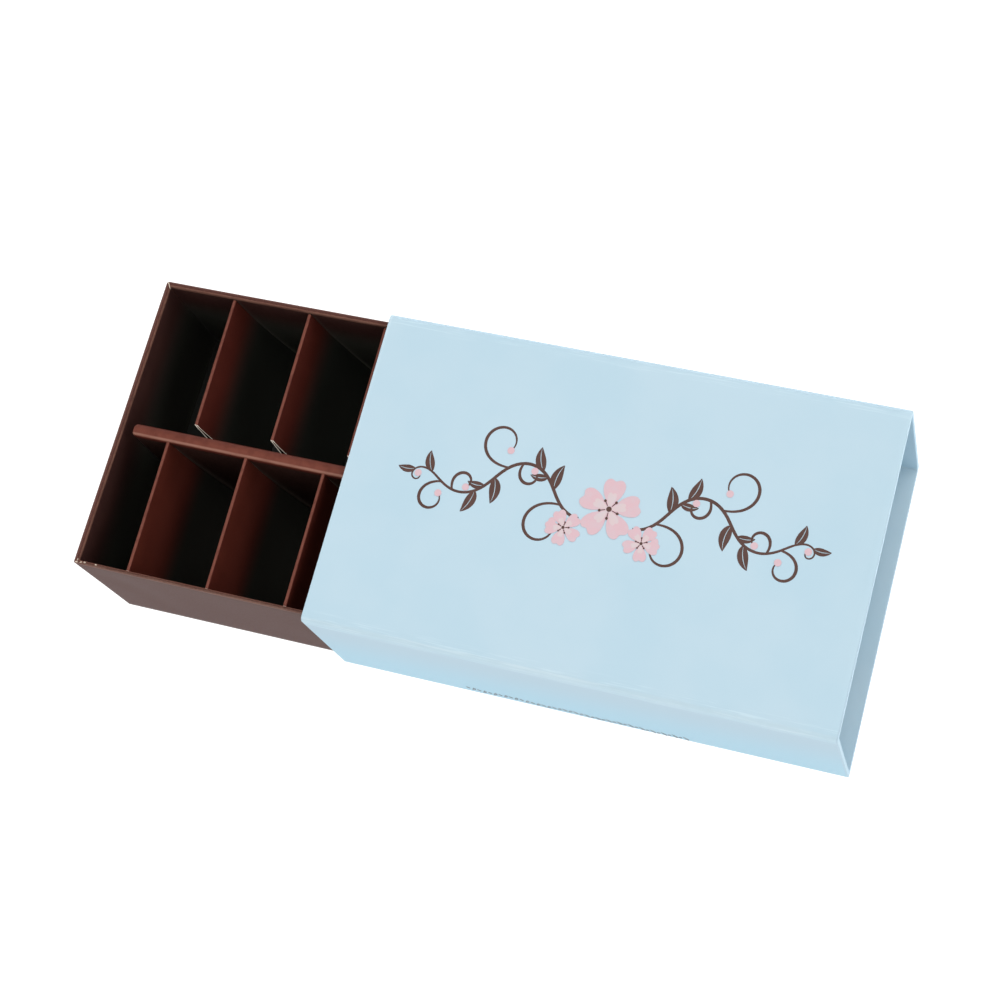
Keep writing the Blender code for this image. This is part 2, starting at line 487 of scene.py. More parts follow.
@dataclass(frozen=True)
class TrayStock(BrownStock):
    """The tray's board: dark outer ply, an inside darker still as painted shade, a lighter inner
    fold and near rim edge that are partly wear and partly painted highlight, a few chips at the
    corners.

    Low and high are the corners of the tray in plan.
    """

    low: Pair = (0.0, 0.0)
    high: Pair = (0.0, 0.0)
    # The outer ply's tone; the darker base inside the tray is a shaded copy of it, painted shade.
    outside: Colour = (0.0620, 0.0180, 0.0125)
    crest: Colour = (0.1130, 0.0480, 0.0390)
    # Lighter inner fold of the rim: partly rubbed wear, partly painted highlight.
    fold: Colour = (0.150, 0.072, 0.052)
    # The near rim's outer edge: partly wear, partly painted highlight.
    wear_and_highlight: Colour = (0.160, 0.088, 0.068)
    core: Colour = (0.78, 0.68, 0.55)
    chips: tuple[Chip, ...] = (
        Chip(-129.55, 51.15, 2.9, 0.40, -1.09),
        Chip(-128.10, 49.55, 1.0, 0.65, 0.10),
        Chip(-129.45, -50.65, 0.95, 0.42, 1.35),
        Chip(-129.40, -51.55, 0.90, 0.38, 0.20),
        Chip(-127.90, -51.35, 0.90, 0.38, 0.50),
        Chip(-126.45, -51.20, 0.80, 0.42, 0.10),
        Chip(-122.30, -51.15, 0.80, 0.34, 0.00),
    )

    def tone(self, sheet: ShaderSheet, point: Wire) -> Wire:
        """The stock's tone with bands on the rim that follow the distance from outside; the inside
        keeps the darker base as painted shade, and the fold and near edge bands are partly painted
        highlight.

        Args:
            sheet: What the nodes go on.
            point: The place on the piece.

        Returns:
            The colour.
        """
        x, y, z = sheet.axes(point)
        below, from_near = self.top - z, y - self.low[1]
        from_side = (x - self.low[0]).least(self.high[0] - x)
        inset = from_side.least(from_near.least(self.high[1] - y))
        rim = below.ease(1.6, 0.9)
        drawn = sheet.stretched(point, (0.2, 0.2, 1.0))
        streak = sheet.noise(drawn, 1.4, 3.0).ease(0.25, 0.65)
        # The near rim's outer edge, lighter: partly wear, partly painted highlight.
        near_edge = from_near.ease(1.25, 0.45) * below.ease(1.1, 0.6)
        bare = self.chips[0].mask(x, y)
        for chip in self.chips[1:]:
            bare = bare.most(chip.mask(x, y))
        layers = [
            # Outer ply; the inside keeps the darker base as painted shade.
            (inset.ease(0.60, 0.30), self.outside),
            (rim * inset.ease(0.95, 0.60), self.crest),
            # Lighter inner fold: partly wear, partly painted highlight.
            (rim * inset.ease(1.00, 1.35) * (0.45 + 0.55 * streak), self.fold),
            # Near rim edge: partly wear, partly painted highlight.
            (near_edge * (0.50 + 0.45 * streak), self.wear_and_highlight),
            (bare * rim * 0.9, self.core),
        ]
        return sheet.layered(super().tone(sheet, point), layers)


@dataclass(frozen=True)
class RawCard:
    """The off-white core of the card, bare where it was cut, glowing with painted light."""

    name: str
    base: Colour = (0.84, 0.77, 0.66)
    grey: Colour = (0.66, 0.60, 0.51)
    # Painted light: the cut edges glow, though no lamp lights them.
    glow: float = 0.30

    def dress(self) -> bpy.types.Material:
        """Short fibres of two tones, which glow as painted light.

        Returns:
            The finished material.
        """
        sheet = ShaderSheet.material(self.name)
        fibre = sheet.noise(sheet.place(), 0.6, 4.0, 0.65)
        tone = sheet.mix(fibre.ease(0.40, 0.72), self.base, self.grey)
        return sheet.finish(
            Base_Color=tone,
            Roughness=fibre * 0.15 + 0.75,
            IOR=1.4,
            Normal=sheet.bump(fibre, 0.03),
            # Painted light: the glow of the cut edges.
            Emission_Color=tone,
            Emission_Strength=self.glow,
        )


@dataclass(frozen=True)
class PrintInk:
    """A thin film of printing ink whose density varies a little."""

    name: str
    full: Colour
    thin: Colour

    def dress(self) -> bpy.types.Material:
        """Clouds between a full and a thin film.

        Returns:
            The finished material.
        """
        sheet = ShaderSheet.material(self.name)
        point = sheet.place()
        density = sheet.noise(point, 3.5, 4.0, 0.6)
        tone = sheet.mix(density.ease(0.38, 0.66), self.full, self.thin)
        return sheet.finish(Base_Color=tone, Roughness=density * 0.1 + 0.42, IOR=1.42)


@dataclass(frozen=True)
class TableTop:
    """A plain white table lit from below, so that nothing casts a shadow on it."""

    base: Colour = (0.20, 0.20, 0.20)
    light: Colour = (1.0, 1.0, 1.0)
    glow: float = 1.02

    def dress(self) -> bpy.types.Material:
        """White with the faintest clouding.

        Returns:
            The finished material.
        """
        sheet = ShaderSheet.material("table_top")
        clouds = sheet.noise(sheet.place(), 300.0, 2.0)
        tone = sheet.mix(clouds.ease(0.3, 0.7), self.base, tuple(0.99 * part for part in self.base))
        return sheet.finish(
            Base_Color=tone,
            Roughness=clouds * 0.02 + 0.9,
            Emission_Color=self.light,
            Emission_Strength=self.glow,
        )


# Shapes


@dataclass(frozen=True)
class Box:
    """The box of a CAD node, in millimetres."""

    low: np.ndarray
    high: np.ndarray

    @classmethod
    def of(cls, node: str) -> "Box":
        """Reads a node's corners from the frame."""
        low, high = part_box(node)
        return cls(np.array(low) / MM, np.array(high) / MM)

    @property
    def middle(self) -> np.ndarray:
        """Its centre."""
        return (self.low + self.high) / 2.0

    @property
    def size(self) -> np.ndarray:
        """Its three sides."""
        return self.high - self.low


def ease(value: np.ndarray, start: float, end: float) -> np.ndarray:
    """A smooth step of an array.

    Args:
        value: The values.
        start: Where the step is still 0.
        end: Where it has reached 1; it may be less than start.

    Returns:
        3t² - 2t³, where t is how far each value lies from start to end, held in 0 to 1.
    """
    share = np.clip((value - start) / (end - start), 0.0, 1.0)
    return share * share * (3.0 - 2.0 * share)


def unit(vectors: np.ndarray) -> np.ndarray:
    """Each row over its own length."""
    return vectors / np.linalg.norm(vectors, axis=1, keepdims=True)


def left_of(vectors: np.ndarray) -> np.ndarray:
    """Each row turned a quarter to the left."""
    return np.column_stack([-vectors[:, 1], vectors[:, 0]])


def towards(heading: np.ndarray | float) -> np.ndarray:
    """The step of length 1 at each heading: its cosine and its sine."""
    return np.stack([np.cos(heading), np.sin(heading)], axis=-1)


def grid_quads(rows: int, columns: int, close_rows: bool, close_columns: bool) -> np.ndarray:
    """Corner numbers of the quads between the points of a grid.

    Args:
        rows: Number of rows of points.
        columns: Points in a row.
        close_rows: Whether the last row joins the first.
        close_columns: Whether each row's last point joins its first.

    Returns:
        An array (quads, 4).
    """
    row, column = np.meshgrid(
        np.arange(rows if close_rows else rows - 1),
        np.arange(columns if close_columns else columns - 1),
        indexing="ij",
    )
    below = (row + 1) % rows
    beside = (column + 1) % columns
    corners = [row * columns + column, row * columns + beside]
    corners += [below * columns + beside, below * columns + column]
    return np.stack(corners, axis=-1).reshape(-1, 4)


@dataclass
class Skin:
    """The closed bodies of one piece, gathered in millimetres as whole arrays."""

    points: list[np.ndarray] = field(default_factory=list)
    faces: Faces = field(default_factory=list)
    count: int = 0

    def add_body(self, points: np.ndarray, faces: Faces) -> None:
        """Adds a closed body with its faces outwards.

        Its volume is a sixth of the sum, over its faces cut into triangles, of the triple
        product of their corners. Where that is negative, every face is reversed.

        Args:
            points: An array (points, 3).
            faces: Arrays of corner numbers, each with the material that they take.
        """
        volume = 0.0
        centred = points - points.mean(axis=0)
        for corners, _ in faces:
            ring = centred[corners]
            spokes = np.broadcast_to(ring[:, :1], ring[:, 1:-1].shape)
            volume += float(np.sum(spokes * np.cross(ring[:, 1:-1], ring[:, 2:])))
        order = -1 if volume < 0.0 else 1
        self.points.append(points)
        self.faces += [(corners[:, ::order] + self.count, part) for corners, part in faces]
        self.count += len(points)

    def add_hoop(self, grid: np.ndarray) -> None:
        """Adds a body that is closed along its rows and its columns, as a bent tube is."""
        rows, columns, _ = grid.shape
        quads = grid_quads(rows, columns, True, True)
        self.add_body(grid.reshape(-1, 3), [(quads, Face.MAIN)])

    def add_vessel(self, grid: np.ndarray) -> None:
        """Adds loops, one a row, with a flat face in the first loop and in the last.

        Args:
            grid: Points of the loops, (loops, points in a loop, 3).
        """
        rows, columns, _ = grid.shape
        first = np.arange(columns)[None, ::-1]
        last = first[:, ::-1] + (rows - 1) * columns
        quads = grid_quads(rows, columns, False, True)
        faces = [(quads, Face.MAIN), (first, Face.MAIN), (last, Face.MAIN)]
        self.add_body(grid.reshape(-1, 3), faces)

    def add_sheet(self, upper: np.ndarray, lower: np.ndarray, edge: Face = Face.MAIN) -> None:
        """Adds the body between two grids of the same shape.

        Args:
            upper: Points of one side, (rows, columns, 3).
            lower: The matching points of the other side.
            edge: The material of the narrow faces round the border.
        """
        rows, columns, _ = upper.shape
        number = np.arange(rows * columns).reshape(rows, columns)
        sides = [number[0, :-1], number[:-1, -1], number[-1, :0:-1], number[:0:-1, 0]]
        border = np.concatenate(sides)
        onward = np.roll(border, -1)
        below = rows * columns
        rim = np.stack([onward, border, border + below, onward + below], axis=-1)
        quads = grid_quads(rows, columns, False, False)
        faces = [(quads, Face.MAIN), (quads[:, ::-1] + below, Face.MAIN), (rim, edge)]
        self.add_body(np.concatenate([upper.reshape(-1, 3), lower.reshape(-1, 3)]), faces)

    def make(self, name: str, *materials: bpy.types.Material) -> bpy.types.Object:
        """Turns what was gathered into one object at the origin.

        Args:
            name: The piece's name.
            *materials: Its materials, in the order of Face.

        Returns:
            The object.
        """
        points = np.concatenate(self.points) * MM
        sides = np.concatenate([np.full(len(c), c.shape[1]) for c, _ in self.faces])
        corners = np.concatenate([c.ravel() for c, _ in self.faces])
        parts = np.concatenate([np.full(len(c), int(part)) for c, part in self.faces])
        mesh = bpy.data.meshes.new(name)
        mesh.vertices.add(len(points))
        mesh.vertices.foreach_set("co", points.astype(np.float32).ravel())
        mesh.loops.add(len(corners))
        mesh.polygons.add(len(sides))
        mesh.polygons.foreach_set("loop_start", (np.cumsum(sides) - sides).astype(np.int32))
        mesh.polygons.foreach_set("vertices", corners.astype(np.int32))
        mesh.polygons.foreach_set("material_index", parts.astype(np.int32))
        mesh.update(calc_edges=True)
        mesh.validate()
        mesh.shade_smooth()
        mesh.set_sharp_from_angle(angle=CREASE)
        for material in materials:
            mesh.materials.append(material)
        piece = bpy.data.objects.new(name, mesh)
        bpy.context.scene.collection.objects.link(piece)
        LOG.info("%s: %d faces", name, len(sides))
        return piece


@dataclass(frozen=True)
class RoundedRectangle:
    """A rectangle with rounded corners, walked once round, that an inset shrinks evenly."""

    half_first: float
    half_second: float
    radius: float
    inside_radius: float
    wall: float
    spacing: float = 3.0
    arc_steps: int = 6

    def walk(self, inset: np.ndarray) -> tuple[np.ndarray, np.ndarray, np.ndarray]:
        """Points of the loop at each inset.

        A corner's centre lies a radius in from both sides. A point on a corner is its
        centre plus the radius along an angle that turns a quarter; a point on a side is a
        point between two centres plus the radius straight outwards. The radius runs from
        the outer to the inside one as the inset crosses the wall.

        Args:
            inset: Distances in from the rectangle, as a column (rows, 1).

        Returns:
            The two coordinates, each (rows, points), and the outward angle at each point.
        """
        signs = np.array([(1, 1), (-1, 1), (-1, -1), (1, -1), (1, 1)], float)
        pieces = []
        for quarter in range(4):
            turn = (quarter + np.linspace(0.0, 1.0, self.arc_steps + 1)) * pi / 2.0
            corner = np.broadcast_to(signs[quarter], (len(turn), 2))
            pieces.append(np.column_stack([corner, turn]))
            length = 2.0 * (self.half_first, self.half_second)[quarter % 2]
            share = np.linspace(0.0, 1.0, int(length / self.spacing) + 1)[1:-1, None]
            between = signs[quarter] * (1.0 - share) + signs[quarter + 1] * share
            outward = np.full(len(share), (quarter + 1) * pi / 2.0)
            pieces.append(np.column_stack([between, outward]))
        first, second, angle = np.concatenate(pieces).T
        crossed = np.clip(inset / self.wall, 0.0, 1.0)
        radius = self.radius + (self.inside_radius - self.radius) * crossed
        first = first * (self.half_first - inset - radius) + radius * np.cos(angle)
        second = second * (self.half_second - inset - radius) + radius * np.sin(angle)
        return first, second, angle


def quarter_arc(steps: int) -> tuple[np.ndarray, np.ndarray]:
    """Cosines and sines of a quarter turn from 0."""
    angle = np.linspace(0.0, pi / 2.0, steps + 1)
    return np.cos(angle), np.sin(angle)


# The sleeve


@dataclass
class Sleeve:
    """The pale sleeve: a folded tube of board, wrapped in paper that turns in at both ends.

    Each side stands out from the board's box by the swell, and the tube is out of square
    in plan: its near side lies to the right, and its far side to the left, by the shear.
    """

    box: Box
    board: float = 1.7
    fold_radius: float = 1.8
    inside_radius: float = 0.4
    end_radius: float = 0.30
    turn_in: float = 16.0
    paper: float = 0.12
    swell: float = 0.60
    shear: float = 0.45
    sag: float = 0.10
    ripple: float = 0.025
    ripple_scale: Pair = (17.0, 13.0)
    ripple_phase: Pair = (0.6, 1.1)
    spacing: float = 3.0

    def dip(self, along: np.ndarray, across: np.ndarray) -> np.ndarray:
        """How far the top panel lies below flat.

        A squared cosine across, zero at both folds, times the sum of a slow swell along
        and the product of two crossed sines.

        Args:
            along: x in millimetres.
            across: y in millimetres.

        Returns:
            The depth in millimetres.
        """
        reach = self.box.size[1] / 2.0 - self.fold_radius
        hump = np.cos(np.clip(across / reach, -1.0, 1.0) * pi / 2.0) ** 2
        swell = 0.8 + 0.2 * np.cos((along - self.box.middle[0]) * tau / self.box.size[0])
        scale, phase = self.ripple_scale, self.ripple_phase
        ripples = np.sin(along / scale[0] + phase[0]) * np.sin(across / scale[1] + phase[1])
        return hump * (self.sag * swell + self.ripple * ripples)

    def edge_profile(self) -> np.ndarray:
        """The board cut along the box, as rows of x and depth into the board.

        It runs along the outside, round the right end, back along the inside, where the
        turned-in paper ends in a small step, and round the left end.

        Returns:
            An array (points, 2).
        """
        left, right = self.box.low[0], self.box.high[0]
        radius, board = self.end_radius, self.board
        stations = np.arange(left + radius, right - radius + 0.01, self.spacing)
        cosine, sine = quarter_arc(4)
        outside = np.column_stack([stations, np.zeros_like(stations)])
        round_out = np.column_stack([right - radius + radius * sine, radius * (1.0 - cosine)])
        round_in = np.column_stack([right - radius * (1.0 - cosine), board - radius * (1.0 - sine)])
        edge = right - self.turn_in
        step = np.array([[edge, board], [edge - 0.15, board - self.paper]])
        right_half = np.concatenate([round_out, round_in, step])
        left_half = right_half[::-1] * (-1.0, 1.0) + (left + right, 0.0)
        inner = stations[(stations > left + self.turn_in) & (stations < edge)][::-1]
        inside = np.column_stack([inner, np.full_like(inner, board - self.paper)])
        return np.concatenate([outside, right_half, inside, left_half])

    def build(self, wrap: PaleWrap) -> bpy.types.Object:
        """Sweeps the edge profile round the folded outline, dips its top and shears it.

        Args:
            wrap: The paper's finish.

        Returns:
            The piece, riding on the sleeve in place of its solid.
        """
        profile = self.edge_profile()
        size, middle = self.box.size, self.box.middle
        half = size[1] / 2.0 + self.swell
        radii = self.fold_radius, self.inside_radius
        outline = RoundedRectangle(half, size[2] / 2.0, *radii, self.board)
        across, height, _ = outline.walk(profile[:, 1:])
        along = profile[:, :1] - self.shear * across / half
        height = height + middle[2] - self.dip(along, across) * (height > 0.0)
        skin = Skin()
        skin.add_hoop(np.stack([along, across + middle[1], height], axis=-1))
        piece = skin.make("sleeve_wrap", wrap.dress())
        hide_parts("sleeve")
        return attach(piece, Body.SLEEVE.value)


# The drawer


@dataclass
class Tray:
    """The brown tray: double walls folded over at the rim, where two ridges run.

    Its left end leans out towards the top by the end flare. At the rim the far wall leans
    out by the far lip, and the near wall's inside stands back by a share of the wall.
    Each dent is its distance from the left end, height, two half sizes and depth.
    """

    box: Box
    wall: float = 1.8
    floor: float = 1.8
    corner_radius: float = 0.6
    inside_radius: float = 0.25
    base_radius: float = 0.5
    ridge: float = 0.42
    groove: float = 0.30
    short_side_drop: float = 0.30
    end_flare: float = 0.38
    flare_from: float = 20.0
    far_lip: float = 0.13
    near_thin: float = 0.30
    rim_depths: Pair = (3.0, 0.5)
    wave: float = 0.12
    wave_scale: Pair = (19.0, 11.0)
    spacing: float = 2.5
    dents: tuple[tuple[float, float, float, float, float], ...] = (
        (12.0, 36.0, 7.0, 9.0, 0.22),
        (20.0, 20.0, 6.0, 12.0, 0.16),
        (47.0, 30.0, 16.0, 14.0, 0.12),
        (74.0, 24.0, 12.0, 10.0, -0.08),
    )

    def wall_profile(self) -> np.ndarray:
        """The wall cut across, as rows of inset and height above the tray's base.

        Up the outside, over an outer ridge, down into a shallow groove, over an inner
        ridge, down the inside and out onto the floor. The ridges are quarter arcs and the
        groove between them is a squared sine.

        Returns:
            An array (points, 2).
        """
        top = self.box.size[2]
        ridge, base = self.ridge, self.base_radius
        cosine, sine = quarter_arc(4)
        foot = np.column_stack([base * (1.0 - sine), base * (1.0 - cosine)])
        outside = np.linspace(base, top - ridge, 16)[1:-1]
        outside = np.column_stack([np.zeros_like(outside), outside])
        outer = np.column_stack([ridge * (1.0 - cosine), top - ridge * (1.0 - sine)])
        share = np.linspace(0.0, 1.0, 9)[1:-1]
        dip = self.groove * np.sin(pi * share) ** 2
        valley = np.column_stack([ridge + share * (self.wall - 2.0 * ridge), top - dip])
        inner = (outer * (-1.0, 1.0) + (self.wall, 0.0))[::-1]
        inside = np.linspace(top - ridge, self.floor + 0.3, 10)[1:]
        inside = np.column_stack([np.full_like(inside, self.wall), inside])
        flat = [[self.wall + 0.3, self.floor], [self.wall + 4.0, self.floor]]
        return np.concatenate([[[4.0, 0.0]], foot, outside, outer, valley, inner, inside, flat])

    def dent(self, along: np.ndarray, height: np.ndarray) -> np.ndarray:
        """Depth of the soft dents in the near wall, a sum of smooth round hollows.

        Args:
            along: Distance from the tray's left end.
            height: Height above its base.

        Returns:
            The depth in millimetres.
        """
        spot = np.array(self.dents).T[:, :, None, None]
        share = ((along - spot[0]) / spot[2]) ** 2 + ((height - spot[1]) / spot[3]) ** 2
        return np.sum(spot[4] * np.exp(-share), axis=0)

    def build(self, stock: BrownStock) -> bpy.types.Object:
        """Sweeps the wall profile round the tray's outline, then bends its walls.

        The rim, a smooth step of the height, is lower along the short sides and waves in
        a sine of the place in plan. How far a point counts as on a side is the sine or
        the cosine of its outward angle.

        Args:
            stock: The board's finish.

        Returns:
            The piece, riding on the drawer in place of its solid.
        """
        profile = self.wall_profile()
        size, middle, low = self.box.size, self.box.middle, self.box.low
        radii = self.corner_radius, self.inside_radius
        outline = RoundedRectangle(*size[:2] / 2.0, *radii, self.wall, self.spacing)
        along, across, angle = outline.walk(profile[:, :1])
        height = np.broadcast_to(profile[:, 1:], along.shape)
        start, end = size[2] - np.array(self.rim_depths)
        is_rim = ease(height, start, end)
        drop = ease(np.abs(np.cos(angle)), 0.45, 0.95) * self.short_side_drop
        wave = np.sin(along / self.wave_scale[0] + across / self.wave_scale[1])
        lowered = height - is_rim * (drop + self.wave * (0.5 * wave + 0.5))
        near_outside = (profile[:, :1] < 0.05) * (np.sin(angle) < -0.99) * (1.0 - is_rim)
        near, far, left = np.clip([-np.sin(angle), np.sin(angle), -np.cos(angle)], 0.0, 1.0)
        thinned = np.clip(profile[:, :1], 0.0, self.wall) * self.near_thin * near
        across = across + near_outside * self.dent(along + size[0] / 2.0, height)
        across = across + is_rim * (far * self.far_lip - thinned)
        along = along - left * self.end_flare * ease(height, self.flare_from, size[2])
        skin = Skin()
        place = [along + middle[0], across + middle[1], lowered + low[2]]
        skin.add_vessel(np.stack(place, axis=-1))
        piece = skin.make("tray_case", stock.dress())
        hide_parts("tray")
        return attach(piece, Body.DRAWER.value)


@dataclass
class CentreBar:
    """The bar that parts the tray into two rows: card folded over a flat, soft-edged top.

    Its near and far faces stand in from the bar's box by the slim.
    """

    box: Box
    fold_radius: float = 1.15
    corner_radius: float = 1.7
    inside_radius: float = 0.3
    slim: float = 0.20
    crown: float = 0.08

    def build(self, stock: BrownStock) -> bpy.types.Object:
        """Loops of the bar's outline, stacked up its side and drawn in over its top.

        Args:
            stock: The card's finish.

        Returns:
            The piece, riding on the drawer in place of its solid.
        """
        size, middle, low = self.box.size, self.box.middle, self.box.low
        radius, top = self.fold_radius, size[2] - self.crown
        cosine, sine = quarter_arc(5)
        foot = [[1.2, 0.0], [0.3, 0.0], [0.0, 0.3]]
        side = np.linspace(0.3, top - radius, 12)[1:-1]
        side = np.column_stack([np.zeros_like(side), side])
        fold = np.column_stack([radius * (1.0 - cosine), top - radius * (1.0 - sine)])
        over = [[1.45, size[2] - self.crown * 0.3], [1.8, size[2]]]
        profile = np.concatenate([foot, side, fold, over])
        half = size[:2] / 2.0 - (0.0, self.slim)
        outline = RoundedRectangle(*half, self.corner_radius, self.inside_radius, radius)
        along, across, _ = outline.walk(profile[:, :1])
        height = np.broadcast_to(profile[:, 1:], along.shape)
        skin = Skin()
        place = [along + middle[0], across + middle[1], height + low[2]]
        skin.add_vessel(np.stack(place, axis=-1))
        piece = skin.make("centre_bar", stock.dress())
        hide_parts("divider")
        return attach(piece, Body.DRAWER.value)


@dataclass
class FinStrip:
    """One row's strip of thin card, folded up into hollow fins that part its cells.

    Stray moves each fin along the row. A fin's top is turned in plan by the skew, its near
    end drawn back and its far end drawn out by the reach, over an end zone.
    """

    box: Box
    node: str
    name: str
    first_fin: float
    pitch: float
    phase: float
    stray: tuple[float, ...]
    fins: int = 5
    card: float = 0.45
    fold_radius: float = 0.32
    top_width: float = 0.72
    lean: float = 9.0
    spring: float = 1.45
    skew: float = 0.31
    draw_back: float = 0.45
    reach: float = 0.0
    end_zone: float = 9.0
    bow: float = 0.22
    bow_scale: Pair = (21.0, 9.0)
    sway: float = 0.10
    sway_scale: float = 8.0
    fold_steps: int = 5
    ply_steps: int = 8
    stations: int = 17

    def corners(self) -> np.ndarray:
        """The card's unrounded fold line seen from its edge, rows of x and z.

        Along the floor, straight up, over the top and down at a lean, for each fin.

        Returns:
            An array (corners, 2).
        """
        half = self.card / 2.0
        floor, top = self.box.low[2] + half, self.box.high[2] - half
        left = self.first_fin + half + self.pitch * np.arange(self.fins) + self.stray
        right = left + self.top_width
        level = np.full_like(left, floor)
        raised = np.full_like(left, top)
        fins = np.stack([left, level, left, raised, right, raised, right + self.lean, level], axis=-1)
        ends = np.array([[self.box.low[0], floor], [self.box.high[0], floor]])
        return np.concatenate([ends[:1], fins.reshape(-1, 2), ends[1:]])

    def fold_line(self) -> np.ndarray:
        """The rounded middle line of the card.

        Each fold is a parabola from a point short of its corner to one past it, pulled
        towards the corner; the two points lie a fold radius over the tangent of half the
        corner's angle away. Between the folds run straight plies of evenly spaced points.

        Returns:
            Rows of x and z, its leaning plies bent.
        """
        corner = self.corners()
        before, here, after = corner[:-2], corner[1:-1], corner[2:]
        back, on = unit(before - here), unit(after - here)
        opening = np.arccos(np.sum(back * on, axis=1, keepdims=True))
        reach = self.fold_radius / np.tan(opening / 2.0)
        start, end = here + back * reach, here + on * reach
        t = np.linspace(0.0, 1.0, self.fold_steps + 1)[None, :, None]
        folds = start[:, None] * (1 - t) ** 2 + here[:, None] * 2 * t * (1 - t) + end[:, None] * t**2
        plies = np.linspace(folds[:-1, -1], folds[1:, 0], self.ply_steps + 2, axis=1)[:, 1:-1]
        body = np.concatenate([folds[:-1], plies], axis=1).reshape(-1, 2)
        return self.sprung(np.concatenate([corner[:1], body, folds[-1], corner[-1:]]))

    def sprung(self, line: np.ndarray) -> np.ndarray:
        """Bends the leaning plies: they leave the top upright and lean more further down.

        The share of the lean that each point has reached is raised to a power. A point
        belongs to the fin whose leaning ply starts less than a millimetre to its right,
        or nearest to its left.

        Args:
            line: Rows of x and z.

        Returns:
            The bent line.
        """
        start = self.first_fin + self.card / 2.0 + self.top_width
        slack = 1.0
        pitches = np.floor((line[:, 0] - start + slack) / self.pitch).astype(int)
        fin = np.clip(pitches, 0, self.fins - 1)
        start = start + fin * self.pitch + np.array(self.stray)[fin]
        share = np.clip((line[:, 0] - start) / self.lean, 0.0, 1.0)
        return line + np.column_stack([self.lean * (share**self.spring - share), 0.0 * share])

    def build(self, stock: BrownStock, raw: RawCard) -> bpy.types.Object:
        """Carries the fold line across the row and gives it the card's thickness.

        The plies bow a little, as sprung card does: a sine over their height, times a slow
        wave across the row. Skew, sway and the draw of both ends grow with a power of the
        height, so that the card lies flat on the floor.

        Args:
            stock: The finish of the card's faces.
            raw: The finish of its cut edges.

        Returns:
            The piece, riding on the drawer in place of its solid.
        """
        line = self.fold_line()
        step = unit(np.diff(line, axis=0))
        tangent = unit(np.concatenate([step[:1], step[:-1] + step[1:], step[-1:]]))
        narrowed = np.sum(tangent * np.concatenate([step[:1], step]), axis=1, keepdims=True)
        normal = left_of(tangent) / narrowed * self.card / 2.0
        low_end, high_end = self.box.low[1], self.box.high[1]
        across = np.linspace(low_end, high_end, self.stations)[:, None]
        floor, top = self.box.low[2], self.box.high[2]
        rise = np.clip((line[:, 1] - floor) / (top - floor), 0.0, 1.0)
        scale = self.bow_scale
        slow = np.sin(across / scale[0] + line[:, 0] / scale[1] + self.phase)
        place = (across - self.box.middle[1]) * 2.0 / self.box.size[1]
        shift = self.bow * np.sin(pi * rise) * slow - self.skew * rise * place
        sway = np.sin(across / self.sway_scale + line[:, 0] + self.phase)
        sink = self.sway * rise**4 * (0.5 + 0.5 * sway)
        near_end = ease(across, low_end + self.end_zone, low_end)
        far_end = ease(across, high_end - self.end_zone, high_end)
        drawn = across + rise**3 * (self.draw_back * near_end + self.reach * far_end)
        sides = []
        for offset in (normal, -normal):
            along = line[:, 0] + offset[:, 0] + shift
            height = line[:, 1] + offset[:, 1] - sink
            sides.append(np.stack([along, drawn, height], axis=-1))
        skin = Skin()
        skin.add_sheet(sides[0], sides[1], edge=Face.CUT_EDGE)
        piece = skin.make(self.name, stock.dress(), raw.dress())
        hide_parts(self.node)
        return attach(piece, Body.DRAWER.value)


# The print


@dataclass(frozen=True)
class Stroke:
    """A pen stroke drawn flat: a path and its half width at each point."""

    path: np.ndarray
    half: np.ndarray

    def sheet(self) -> np.ndarray:
        """The stroke as a grid: the path plus, across it, its normal times the half width."""
        normal = left_of(unit(np.gradient(self.path, axis=0)))
        side = np.array([-1.0, 0.0, 1.0])[None, :, None]
        return self.path[:, None] + normal[:, None] * side * self.half[:, None, None]

    def mirrored(self) -> "Stroke":
        """The same stroke on the other side of the middle."""
        return Stroke(self.path * (-1.0, 1.0), self.half)


@dataclass(frozen=True)
class Vine:
    """A curving line whose heading swings as a sine and curls up towards its end."""

    start: Pair
    heading: float
    length: float
    swing: float = 0.0
    waves: float = 0.0
    curl: float = 0.0
    power: float = 3.0
    steps: int = 60

    def headings(self, share: np.ndarray) -> np.ndarray:
        """Heading at each share of the length: start, plus a sine, plus a power curl."""
        return self.heading + self.swing * np.sin(tau * self.waves * share) + self.curl * share**self.power

    def trace(self) -> np.ndarray:
        """The path: unit steps along the heading, summed, times the step's length."""
        share = (np.arange(self.steps) + 0.5) / self.steps
        steps = towards(self.headings(share)) * self.length / self.steps
        return np.concatenate([[self.start], self.start + np.cumsum(steps, axis=0)])

    def at(self, share: float) -> tuple[np.ndarray, float]:
        """The point and the heading at a share of the length."""
        path = self.trace()
        index = int(round(share * self.steps))
        return path[index], float(self.headings(np.array([share]))[0])

    def stroke(self, root: float, tip: float, swell: float = 0.0) -> Stroke:
        """The vine as a pen stroke.

        Args:
            root: Half width at the start.
            tip: Half width at the end.
            swell: Extra half width in the middle.

        Returns:
            The stroke, its half width a straight taper plus a sine hump.
        """
        share = np.linspace(0.0, 1.0, self.steps + 1)
        return Stroke(self.trace(), root + (tip - root) * share + swell * np.sin(pi * share))


